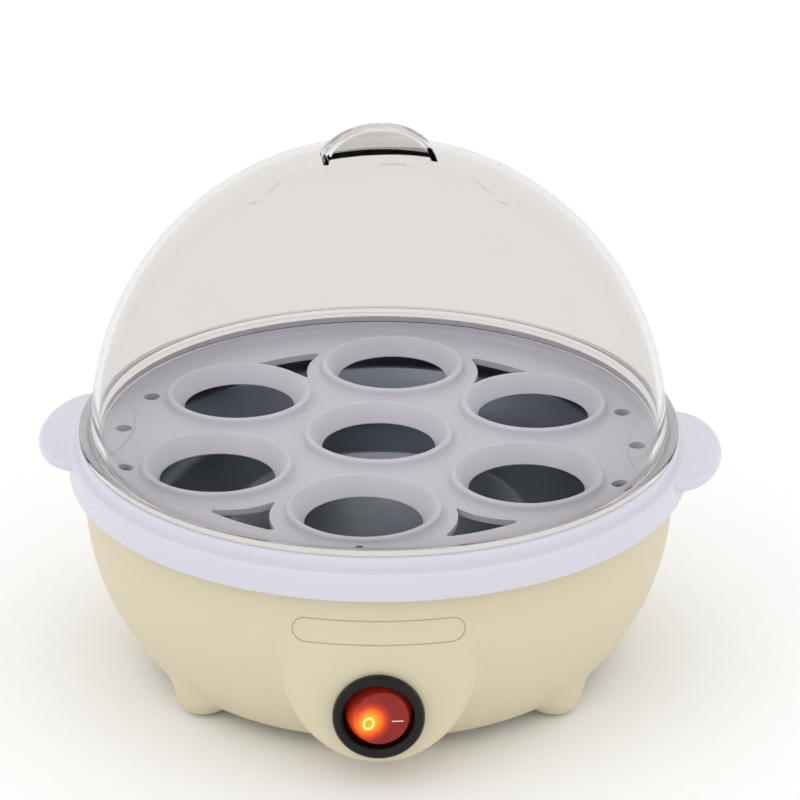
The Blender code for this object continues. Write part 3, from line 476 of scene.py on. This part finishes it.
def makeTray():
    s = traySizes
    plate, under, band = s["plate"], s["plate"] - s["sheet"], s["band"]
    profile = [(0, plate), (30, plate), (s["well"] - 1.4, plate)]
    profile += roundPoints((s["well"] - 1.2, plate + 1.4), 1.4, -90, -8, 5)
    profile += roundPoints((s["well"] + 1.3, s["rim"] - 0.9), 0.9, 172, 90, 5)
    profile += roundPoints((78.1, s["rim"] - 0.9), 0.9, 90, 8, 5)
    profile += [(79.1, band + 1.3)] + roundPoints((79.6, band + 0.5), 0.5, 180, 270, 4)
    profile += roundPoints((s["outer"] - 1.4, band - 1.4), 1.4, 90, 2, 7)
    profile += [(s["outer"], 57.5)] + roundPoints((80.8, s["skirt"] + 0.5), 0.5, 0, -90, 3)
    profile += [(80.1, s["skirt"]), (79.75, s["skirt"] + 0.4), (79.6, s["bowlTop"]), (s["well"] + 0.4, s["bowlTop"]),
                (s["well"], s["bowlTop"] - 0.4), (s["well"], under + 0.3), (s["well"] - 0.3, under), (0, under)]
    tray = turnRing("egg_tray_moulding", profile, sides=240)

    ears = []
    for side in (-1, 1):
        outline = roundPoints((side * s["earCentre"], 0), (s["earReach"], s["earHalf"]), 0, 354, 59)
        middle = band - 1.4
        ear = flatBlock("ear", outline, middle - s["earThick"] / 2, middle + s["earThick"] / 2)
        ears.append(softenEdges(ear, 0.95, 4))
    combine(tray, joinAll(ears), "UNION")
    inner = [(79.55, s["bowlTop"] - 0.02), (79.72, s["skirt"] + 0.6), (79.72, s["skirt"] - 2),
             (s["well"], s["skirt"] - 2), (s["well"], s["bowlTop"] - 0.02), (79.55, s["bowlTop"] - 0.02)]
    combine(tray, turnRing("under_rim", inner, sides=240))

    seats = [(0, 0)] + [(s["seatRing"] * math.cos(math.radians(60 * i - 90)),
                         s["seatRing"] * math.sin(math.radians(60 * i - 90))) for i in range(6)]
    cutters = [rod("seat_hole", s["seatHole"], under - 1, plate + 1, x, y, 72) for x, y in seats]
    block = flatBlock("window", windowOutline(), under - 1, plate + 1)
    window = softenEdges(block, 1.2, 3, angle=50)
    cutters += [twin(window, turn=(0, 0, turn)) for turn in s["windowTurns"]]
    bpy.data.objects.remove(window, do_unlink=True)
    for turn in s["dripTurns"]:
        x, y = s["dripRing"] * math.cos(math.radians(turn)), s["dripRing"] * math.sin(math.radians(turn))
        cutters.append(rod("drip", s["dripRadius"], under - 1, plate + 1, x, y, 28))
    combine(tray, joinAll(cutters))

    # each collar flares out of the plate, rolls over its lip and runs down inside as a shallow cup
    foot, lip = s["collar"], s["collarTop"]
    collar = [(foot + 0.6, plate - 0.5), (foot + 0.6, plate + 0.02), (foot - 0.1, plate + 0.18),
              (foot - 0.6, plate + 0.6), (foot - 0.9, plate + 1.2)]
    collar += roundPoints((18.7, lip - 1.0), 1.0, 20, 140, 6)
    collar += [(16.1, plate + 0.3), (14.9, under), (15.3, under - 0.35), (17.0, under - 0.35), (17.4, under + 0.1),
               (17.4, plate - 0.5), (foot + 0.6, plate - 0.5)]
    ring = turnRing("collar", collar, sides=96)
    collars = [twin(ring, (x, y, 0)) for x, y in seats]
    bpy.data.objects.remove(ring, do_unlink=True)
    combine(tray, joinAll(collars), "UNION")
    place(tray, (0, axisY, 0), (0, 0, s["turn"]))
    return finishPiece(tray, lilacWhite, "tray", "white_plastic", "egg_tray", angle=35)


# Lid: a clear half dome on a flat flange, with a hollow half-moon grip, a steam slot and two finger dents in front

lidSizes = {
    "seat": 64.3, "dome": 75.3, "wall": 1.9, "flange": lidHigh.x, "spigot": lidLow.z, "flangeThick": 1.8,
    "gripHalf": 14.85, "gripRise": 11.2, "gripTurn": 6.3, "gripWall": 1.5, "gripEdge": 0.5,
    "gripSide": ((6.4, 0), (4.6, 3.2), (3.2, 6.2), (2.0, 9.2), (1.5, 12.0)),
    "slotEnds": (-0.2, 6.1), "slotOut": 7.0, "slotHalf": 0.65,
    "dentCorners": ((22, 0), (25.6, 11), (25, 17.5), (34, 12), (35, 5), (28, 3.4)),
    "dentDepth": 0.5, "dentSlope": 3.4,
}


def dentDepth(x, y):
    # how far the dome is pressed in at (x, y): one dent either side of the front, and none behind
    corners, point = lidSizes["dentCorners"], Vector((abs(x), -y))
    nearest, inside = 1e3, False
    for (ax, ay), (bx, by) in zip(corners, corners[1:] + corners[:1]):
        start, end = Vector((ax, ay)), Vector((bx, by))
        along = min(max((point - start).dot(end - start) / (end - start).length_squared, 0), 1)
        nearest = min(nearest, (point - start - (end - start) * along).length)
        if (ay > point.y) != (by > point.y) and point.x < (bx - ax) * (point.y - ay) / (by - ay) + ax:
            inside = not inside
    depth = min(nearest / lidSizes["dentSlope"], 1) if inside else 0
    return lidSizes["dentDepth"] * depth * depth * (3 - 2 * depth)


def pressDents(obj):
    centre = Vector((0, 0, lidSizes["seat"] * mm))
    for vertex in obj.data.vertices:
        if vertex.co.z > (lidSizes["seat"] + 30) * mm:
            depth = dentDepth(vertex.co.x / mm, vertex.co.y / mm)
            vertex.co -= (vertex.co - centre).normalized() * depth * mm


def gripBlock(name, wall, foot):
    # a half-moon from the front, pinched to a thin crest when seen from its end
    s = lidSizes
    half, rise = s["gripHalf"] - wall, s["gripRise"] - wall
    block = flatBlock(name, roundPoints((0, 0), (half, rise), 0, 180, 48) + [(-half, -foot), (half, -foot)], -8, 8)
    side = [(max(thick - wall, 0.3), height - wall) for thick, height in s["gripSide"]]
    side = [(side[0][0], -foot - 1)] + side[1:]
    wedge = flatBlock("wedge", side + [(-thick, height) for thick, height in reversed(side)], -20, 20)
    combine(block, place(wedge, turn=(0, 90, 0)), "INTERSECT")
    if wall == 0:
        softenEdges(block, s["gripEdge"], 3, 40)
    place(block, turn=(90, 0, 0))
    return place(block, (0, 0, s["seat"] + s["dome"] - 4), (0, 0, s["gripTurn"]))


def makeLid():
    s = lidSizes
    seat, dome, inner = s["seat"], s["dome"], s["dome"] - s["wall"]
    rise = math.degrees(math.asin((s["flangeThick"] + 1.2) / dome))
    fine = [(dome * math.sin(math.radians(a)), seat + dome * math.cos(math.radians(a))) for a in
            [0, 4, 8, 12] + [14 + 0.7 * i for i in range(24)] + [32 + 2.75 * i for i in range(20)]]
    outside = fine + [(dome * math.cos(math.radians(rise)), seat + s["flangeThick"] + 1.2)]
    outside += [(dome + 0.35, seat + s["flangeThick"] + 0.4), (dome + 1.0, seat + s["flangeThick"])]
    outside += roundPoints((s["flange"] - 0.8, seat + s["flangeThick"] - 0.8), 0.8, 90, 0, 4)
    outside += [(s["flange"], seat + 0.3), (s["flange"] - 0.3, seat), (74.7, seat),
                (74.7, s["spigot"] + 0.3), (74.4, s["spigot"]), (0, s["spigot"])]
    lid = turnRing("lid_dome", outside, sides=256)
    pressDents(lid)
    combine(lid, gripBlock("grip", 0, 0), "UNION")
    hollow = [(inner * r / dome, seat + (z - seat) * inner / dome) for r, z in fine]
    hollow += [(inner, seat), (inner, seat - 3), (0, seat - 3)]
    cavity = turnRing("hollow", hollow, sides=256)
    pressDents(cavity)
    combine(lid, cavity)
    combine(lid, gripBlock("core", s["gripWall"], 6))
    left, right = s["slotEnds"]
    slot = roundPoints((right - s["slotHalf"], -s["slotOut"]), s["slotHalf"], -90, 90, 8)
    slot += roundPoints((left + s["slotHalf"], -s["slotOut"]), s["slotHalf"], 90, 270, 8)
    combine(lid, place(flatBlock("slot", slot, seat + dome - 8, seat + dome + 4), turn=(0, 0, s["gripTurn"])))
    # two small pull marks where the mould's gate was, at the top of the grip
    crest = seat + dome - 4 + s["gripRise"]
    marks = [place(rod("gate", 0.55, -3, 3, sides=16), (x, 0, crest + 0.25), (90, 0, 0)) for x in (-1.0, 1.0)]
    combine(lid, joinAll(marks))
    place(lid, (0, axisY, 0))
    return finishPiece(lid, clearShell, "dome", "clear_plastic", "lid", angle=32)


# Heating pan under the tray

panSizes = {"radius": plateHigh.x, "top": plateHigh.z, "floor": 38.0, "sheet": 1.0, "mouth": 67.5, "bottom": 57.5}


def makePan():
    s = panSizes
    upper = [(s["radius"], s["top"]), (s["mouth"] + 2, s["top"])]
    upper += roundPoints((s["mouth"], s["top"] - 2), 2, 90, 160, 5)[1:]
    upper += roundPoints((s["bottom"], s["floor"] + 4.5), 4.5, -20, -90, 7)
    bead = s["floor"] + 0.35                # a low bead round the heated middle
    upper += [(40.6, s["floor"]), (40.0, bead), (38.0, bead), (37.4, s["floor"]), (0, s["floor"])]
    pan = turnRing("water_pan", upper, sides=200)
    startFresh(pan)
    bpy.ops.object.mode_set(mode="EDIT")
    bpy.ops.mesh.select_all(action="SELECT")
    up = sum(face.normal.z * face.area for face in pan.data.polygons)
    if up < 0:
        bpy.ops.mesh.flip_normals()
    bpy.ops.object.mode_set(mode="OBJECT")
    useModifier(pan, "SOLIDIFY", thickness=s["sheet"] * mm, offset=-1.0, use_even_offset=True)
    place(pan, (0, axisY, 0))
    return finishPiece(pan, panSteel, "base", "stainless_steel", "heating_plate", angle=40)


# Round rocker switch in the housing: a black bezel and a red rocker lit from behind

switchSizes = {
    "height": 20.5, "back": 78.1, "bezel": switchHigh.x, "thick": 2.5, "edge": 1.4, "barrel": 10.0, "depth": 14.0,
    "pocket": 8.8, "mouth": 9.7, "pivotDepth": 5.0, "rocker": 8.3, "tilt": 11.0, "faceMiddle": 4.2, "faceEdge": 5.0,
    "ringX": -3.4, "ringRadius": 1.3, "ringLine": 0.36, "dashX": 3.9, "dashHalf": 1.45, "dashLine": 0.3,
    "markProud": 0.03, "markDrop": 1.0,
}


def rockerMaterial():
    # clear red polycarbonate: deep red away from the lamp, orange where the lamp stands close behind it
    material, tree, shader, place = newMaterial("red polycarbonate, lit from behind", IOR=1.38, Roughness=0.14)
    s = switchSizes
    lamp = addNode(tree, "ShaderNodeMapping", {"Location": ((2.6) * mm, -(axisY - s["back"] - 1.6) * mm,
                                                            -(s["height"] - 0.6) * mm)}, {"Vector": place})
    away = addNode(tree, "ShaderNodeVectorMath", {"operation": "LENGTH"}, {0: lamp.outputs[0]})
    near = addNode(tree, "ShaderNodeMapRange", {"From Min": 0.8 * mm, "From Max": 6.4 * mm, "To Min": 1.0,
                                                "To Max": 0.0, "interpolation_type": "SMOOTHSTEP"},
                   {"Value": away.outputs["Value"]})
    cloud = addNode(tree, "ShaderNodeTexNoise", {"Scale": 420.0, "Detail": 2.0}, {"Vector": place})
    wobble = addNode(tree, "ShaderNodeMath", {"operation": "MULTIPLY_ADD", 1: 0.14}, {0: cloud.outputs["Fac"],
                                                                                      2: near.outputs[0]})
    ramp = addNode(tree, "ShaderNodeValToRGB", links={"Fac": wobble.outputs[0]})
    ramp.color_ramp.elements[0].color = hexColour("#6e150d")
    ramp.color_ramp.elements[1].color = hexColour("#ff8a12")
    ramp.color_ramp.elements.new(0.45).color = hexColour("#c93a14")
    glow = addNode(tree, "ShaderNodeMapRange", {"To Min": 0.2, "To Max": 0.9}, {"Value": near.outputs[0]})
    tree.links.new(ramp.outputs[0], shader.inputs["Base Color"])
    tree.links.new(ramp.outputs[0], shader.inputs["Emission Color"])
    tree.links.new(glow.outputs[0], shader.inputs["Emission Strength"])
    return material


def markMaterial(name, colour, strength):
    # a thin filled-in mark in the rocker's face; the lamp shines through it
    material, tree, shader, place = newMaterial(name, Base_Color=hexColour(colour), Emission_Color=hexColour(colour))
    grain = addNode(tree, "ShaderNodeTexNoise", {"Scale": 2600.0, "Detail": 1.0}, {"Vector": place})
    glow = addNode(tree, "ShaderNodeMapRange", {"To Min": strength * 0.85, "To Max": strength * 1.15},
                   {"Value": grain.outputs["Fac"]})
    tree.links.new(glow.outputs[0], shader.inputs["Emission Strength"])
    return material


def faceAt(x):
    # depth of the rocker's dished face in front of its pivot, x mm from its middle
    s = switchSizes
    return -s["faceMiddle"] - (s["faceEdge"] - s["faceMiddle"]) * (x / 6.5) ** 2


def makeSwitch():
    s = switchSizes
    face, edge = s["thick"], s["edge"]
    floor = -s["depth"] + 2
    profile = [(0, floor), (s["pocket"], floor), (s["pocket"], face - 1.1), (s["mouth"] - 0.25, face - 0.15),
               (s["mouth"] + 0.05, face)]
    profile += roundPoints((s["bezel"] - edge, face - edge), edge, 90, 0, 7)
    profile += [(s["bezel"], 0.15), (s["bezel"] - 0.15, 0), (s["barrel"], 0), (s["barrel"], -s["depth"] + 0.4),
                (s["barrel"] - 0.4, -s["depth"]), (0, -s["depth"])]
    body = turnRing("switch_bezel", profile, sides=128)
    pivot = (0, axisY - s["back"] - face + s["pivotDepth"], s["height"])
    combine(body, place(rod("socket", 1.35, -11, 11, sides=24), (0, 0, face - s["pivotDepth"]), (90, 0, 0)))
    place(body, (0, axisY - s["back"], s["height"]), (90, 0, 0))
    finishPiece(body, blackNylon, "base", "black_plastic", "switch_body", angle=30)

    startFresh()
    bpy.ops.mesh.primitive_uv_sphere_add(segments=96, ring_count=48, radius=s["rocker"] * mm)
    rocker = bpy.context.object
    rocker.name = "rocker_lens"
    front = [(x, faceAt(x)) for x in range(-9, 10)] + [(9, 3.5), (-9, 3.5)]
    combine(rocker, flatBlock("faces", front, -10, 10), "INTERSECT")
    softenEdges(rocker, 0.28, 3, 35)
    pins = joinAll([rod("pin", 1.2, -9.5, -7.5, sides=24), rod("pin", 1.2, 7.5, 9.5, sides=24)])
    combine(rocker, pins, "UNION")
    place(rocker, pivot, (0, 0, s["tilt"]))
    finishPiece(rocker, rockerMaterial(), "switch_rocker", "red_plastic", "rocker", angle=30)

    def layOnFace(mark, x):
        slope = 2 * (s["faceEdge"] - s["faceMiddle"]) * x / 6.5 ** 2
        place(mark, (x, faceAt(x) - s["markProud"], -s["markDrop"]), (0, 0, -math.degrees(math.atan(slope))))
        place(mark, pivot, (0, 0, s["tilt"]))

    startFresh()
    bpy.ops.mesh.primitive_torus_add(major_segments=64, minor_segments=10, major_radius=s["ringRadius"] * mm,
                                     minor_radius=s["ringLine"] / 2 * mm, rotation=(math.pi / 2, 0, 0))
    ring = settle(bpy.context.object)
    ring.name = "off_mark"
    startFresh(ring)
    bpy.ops.object.mode_set(mode="EDIT")
    bpy.ops.mesh.select_all(action="SELECT")
    bpy.ops.transform.resize(value=(1, 0.25, 1.12), center_override=(0, 0, 0))
    bpy.ops.object.mode_set(mode="OBJECT")
    layOnFace(ring, s["ringX"])
    finishPiece(ring, markMaterial("off mark, lit", "#fff08a", 1.6), "switch_rocker", "red_plastic")

    dash = rod("on_mark", s["dashLine"] / 2, -s["dashHalf"], s["dashHalf"], sides=16)
    place(dash, (0, 0, 0), (0, 90, 0))
    startFresh(dash)
    bpy.ops.object.mode_set(mode="EDIT")
    bpy.ops.mesh.select_all(action="SELECT")
    bpy.ops.mesh.subdivide(number_cuts=2)
    bpy.ops.transform.resize(value=(1, 0.35, 1), center_override=(0, 0, 0))
    bpy.ops.object.mode_set(mode="OBJECT")
    layOnFace(dash, s["dashX"])
    finishPiece(dash, markMaterial("on mark, printed", "#e9c3cf", 0.25), "switch_rocker", "red_plastic")


# Cord gland at the back

glandSizes = {"flange": 7.5, "thick": 2.8, "barrel": 5.0, "length": 10.0, "bore": 3.25,
              "face": glandHigh.y - axisY - 2.8, "height": 24.0}


def makeGland():
    s = glandSizes
    thick = s["thick"]
    profile = [(s["bore"], thick - 0.5)] + roundPoints((s["bore"] + 0.5, thick - 0.5), 0.5, 180, 90, 4)
    profile += roundPoints((s["flange"] - 1.2, thick - 1.2), 1.2, 90, 0, 6)
    profile += [(s["flange"], 0.15), (s["flange"] - 0.15, 0), (s["barrel"], 0), (s["barrel"], -s["length"] + 0.4),
                (s["barrel"] - 0.4, -s["length"]), (s["bore"], -s["length"]), (s["bore"], thick - 0.5)]
    gland = turnRing("cord_gland_ring", profile, sides=72)
    notch = joinAll([rod("notch", 0.55, thick - 0.9, thick + 1, (s["flange"] - 0.1) * math.cos(math.radians(turn)),
                         (s["flange"] - 0.1) * math.sin(math.radians(turn)), 16) for turn in range(0, 360, 30)])
    combine(gland, notch)
    place(gland, (0, axisY + s["face"], s["height"]), (-90, 0, 0))
    return finishPiece(gland, blackNylon, "base", "black_plastic", "cord_gland", angle=30)


# A printed oval line on the bowl's front

lineSizes = {"half": 21.3, "rise": 3.35, "height": 42.9, "line": 0.24, "proud": 0.04, "thick": 0.05}


def makePrintedLine(bowl):
    s = lineSizes
    straight = s["half"] - s["rise"]
    def oval(rise):
        right = roundPoints((straight, 0), rise, -90, 90, 16)
        left = roundPoints((-straight, 0), rise, 90, 270, 16)
        top = [(straight - 2 * straight * i / 24, rise) for i in range(1, 24)]
        bottom = [(-straight + 2 * straight * i / 24, -rise) for i in range(1, 24)]
        return right + top + left + bottom
    outer, inner = oval(s["rise"]), oval(s["rise"] - s["line"])
    startFresh()
    bpy.ops.mesh.primitive_circle_add(vertices=len(outer), radius=1)
    line = bpy.context.object
    line.name = "printed_oval_line"
    bpy.ops.object.mode_set(mode="EDIT")
    bpy.ops.mesh.select_all(action="SELECT")
    bpy.ops.mesh.extrude_edges_move(TRANSFORM_OT_translate={"value": (0, 0, 0.1)})
    bpy.ops.object.mode_set(mode="OBJECT")
    for vertex, (x, z) in zip(line.data.vertices, outer + inner):
        vertex.co = (x * mm, (axisY - 90) * mm, (s["height"] + z) * mm)
    useModifier(line, "SHRINKWRAP", target=bowl, wrap_method="PROJECT", use_project_y=True,
                use_positive_direction=True, offset=s["proud"] * mm)
    useModifier(line, "SOLIDIFY", thickness=s["thick"] * mm, offset=0)
    material, tree, shader, where = newMaterial("grey pad printing ink", Roughness=0.5)
    speckle = addNode(tree, "ShaderNodeTexNoise", {"Scale": 1400.0, "Detail": 2.0}, {"Vector": where})
    tint = addNode(tree, "ShaderNodeMix", {"data_type": "RGBA", 6: hexColour("#b3a795"), 7: hexColour("#a09488")},
                   {0: speckle.outputs["Fac"]})
    tree.links.new(tint.outputs[2], shader.inputs["Base Color"])
    return finishPiece(line, material, "base", "cream_plastic")


bowl = makeBowl()
makeTray()
makeLid()
makePan()
makeSwitch()
makeGland()
makePrintedLine(bowl)


# The plain parts inside keep their shape and get real finishes

def colouredInsulation(name, code, dark):
    return mouldedPlastic(name, code, dark, 0.42, 0.6, 0.03, soft=0.0)


slotFinishes = {
    "cream_plastic": cream,
    "black_plastic": mouldedPlastic("black phenolic, moulded", "#222222", "#181818", 0.4, 0.4, 0.03,
                                    ior=1.6, soft=0.0),
    "silicone": mouldedPlastic("grey silicone rubber", "#8f9092", "#838486", 0.55, 0.7, 0.03, ior=1.41, soft=0.0),
    "nylon": mouldedPlastic("natural nylon, moulded", "#ece8da", "#e0dbc9", 0.42, 0.6, 0.03, ior=1.53),
    "fuse_sleeve": mouldedPlastic("woven glass fibre sleeve", "#e8e6df", "#cfccc2", 0.75, 0.5, 0.12, soft=0.0),
    "brown_insulation": colouredInsulation("brown wire insulation", "#5a3220", "#4a2818"),
    "blue_insulation": colouredInsulation("blue wire insulation", "#2a56a0", "#234a8c"),
    "stainless_steel": drawnStainless("stainless steel tube", "#a6a8aa", "#8d8f92", 0.8),
    "zinc_steel": platedMetal("zinc plated steel", "#c9cacb", "#b4b6b9", 0.24, 1.4),
    "tinned_brass": platedMetal("tinned brass", "#d8cfae", "#c2b68c", 0.22, 1.1),
}


def lampGlass():
    # the neon lamp's glass, with its orange discharge showing through
    material, tree, shader, place = newMaterial("neon lamp glass", IOR=1.5, Roughness=0.05,
                                                Emission_Color=hexColour("#ff8a30"))
    cloud = addNode(tree, "ShaderNodeTexNoise", {"Scale": 500.0, "Detail": 1.0}, {"Vector": place})
    tint = addNode(tree, "ShaderNodeMix", {"data_type": "RGBA", 6: hexColour("#ffb070"), 7: hexColour("#ff7a2a")},
                   {0: cloud.outputs["Fac"]})
    glow = addNode(tree, "ShaderNodeMapRange", {"To Min": 0.8, "To Max": 1.6}, {"Value": cloud.outputs["Fac"]})
    tree.links.new(tint.outputs[2], shader.inputs["Base Color"])
    tree.links.new(glow.outputs[0], shader.inputs["Emission Strength"])
    return material


slotFinishes["lamp_glass"] = lampGlass()
for part in frame["record"]["subparts"]:
    node = frame["nodes"][part["node"]]
    for number in range(len(node.data.materials)):
        node.data.materials[number] = slotFinishes.get(part["material_slot"], cream)
print("finished the carried-over parts")


# Camera, floor and light

viewSizes = {"aim": (0, axisY, 64.0), "distance": 850.0, "elevation": 24.16, "focal": 145.6, "sensor": 36.0,
             "shiftX": 0.0266, "shiftY": 0.0303, "clipStart": 0.05, "clipEnd": 20}


def makeCamera():
    s = viewSizes
    data = bpy.data.cameras.new("camera")
    data.lens, data.sensor_width = s["focal"], s["sensor"]
    data.shift_x, data.shift_y = s["shiftX"], s["shiftY"]
    data.clip_start, data.clip_end = s["clipStart"], s["clipEnd"]
    camera = bpy.data.objects.new("camera", data)
    tilt = math.radians(s["elevation"])
    aim = Vector(s["aim"]) * mm
    camera.location = aim + Vector((0, -math.cos(tilt), math.sin(tilt))) * s["distance"] * mm
    camera.rotation_euler = (aim - camera.location).to_track_quat("-Z", "Y").to_euler()
    bpy.context.scene.collection.objects.link(camera)
    bpy.context.scene.camera = camera


def makeFloor():
    startFresh()
    bpy.ops.mesh.primitive_plane_add(size=6)
    floor = bpy.context.object
    floor.name = "floor"
    material, tree, shader, place = newMaterial("white paper floor", Roughness=0.9, Specular_IOR_Level=0.1)
    fibre = addNode(tree, "ShaderNodeTexNoise", {"Scale": 300.0, "Detail": 2.0}, {"Vector": place})
    tint = addNode(tree, "ShaderNodeMix", {"data_type": "RGBA", 6: hexColour("#fbfbfb"), 7: hexColour("#f7f7f7")},
                   {0: fibre.outputs["Fac"]})
    tree.links.new(tint.outputs[2], shader.inputs["Base Color"])
    floor.data.materials.append(material)


# places and sizes of the lights in metres, powers in watts
lightSizes = {
    "world": 0.98, "target": (0, 0, 0.06),
    "boxes": (("key_left", (-1.3, -1.2, 1.5), (1.6, 1.6), 3.6), ("fill_right", (1.4, -1.1, 1.0), (1.4, 1.2), 1.6),
              ("top", (0.0, 0.3, 1.7), (1.8, 1.8), 3.0)),
}


def softbox(name, spot, size, power):
    data = bpy.data.lights.new(name, "AREA")
    data.shape, data.size, data.size_y = "RECTANGLE", size[0], size[1]
    data.energy = power
    lamp = bpy.data.objects.new(name, data)
    lamp.location = spot
    lamp.rotation_euler = (Vector(lightSizes["target"]) - lamp.location).to_track_quat("-Z", "Y").to_euler()
    bpy.context.scene.collection.objects.link(lamp)


def makeLight():
    world = bpy.data.worlds.new("studio")
    world.use_nodes = True
    background = world.node_tree.nodes["Background"]
    background.inputs["Color"].default_value = hexColour("#ffffff")
    background.inputs["Strength"].default_value = lightSizes["world"]
    bpy.context.scene.world = world
    for box in lightSizes["boxes"]:
        softbox(*box)


makeCamera()
makeFloor()
makeLight()
print("set the camera, floor and light")
bpy.context.scene.view_settings.view_transform = "Standard"
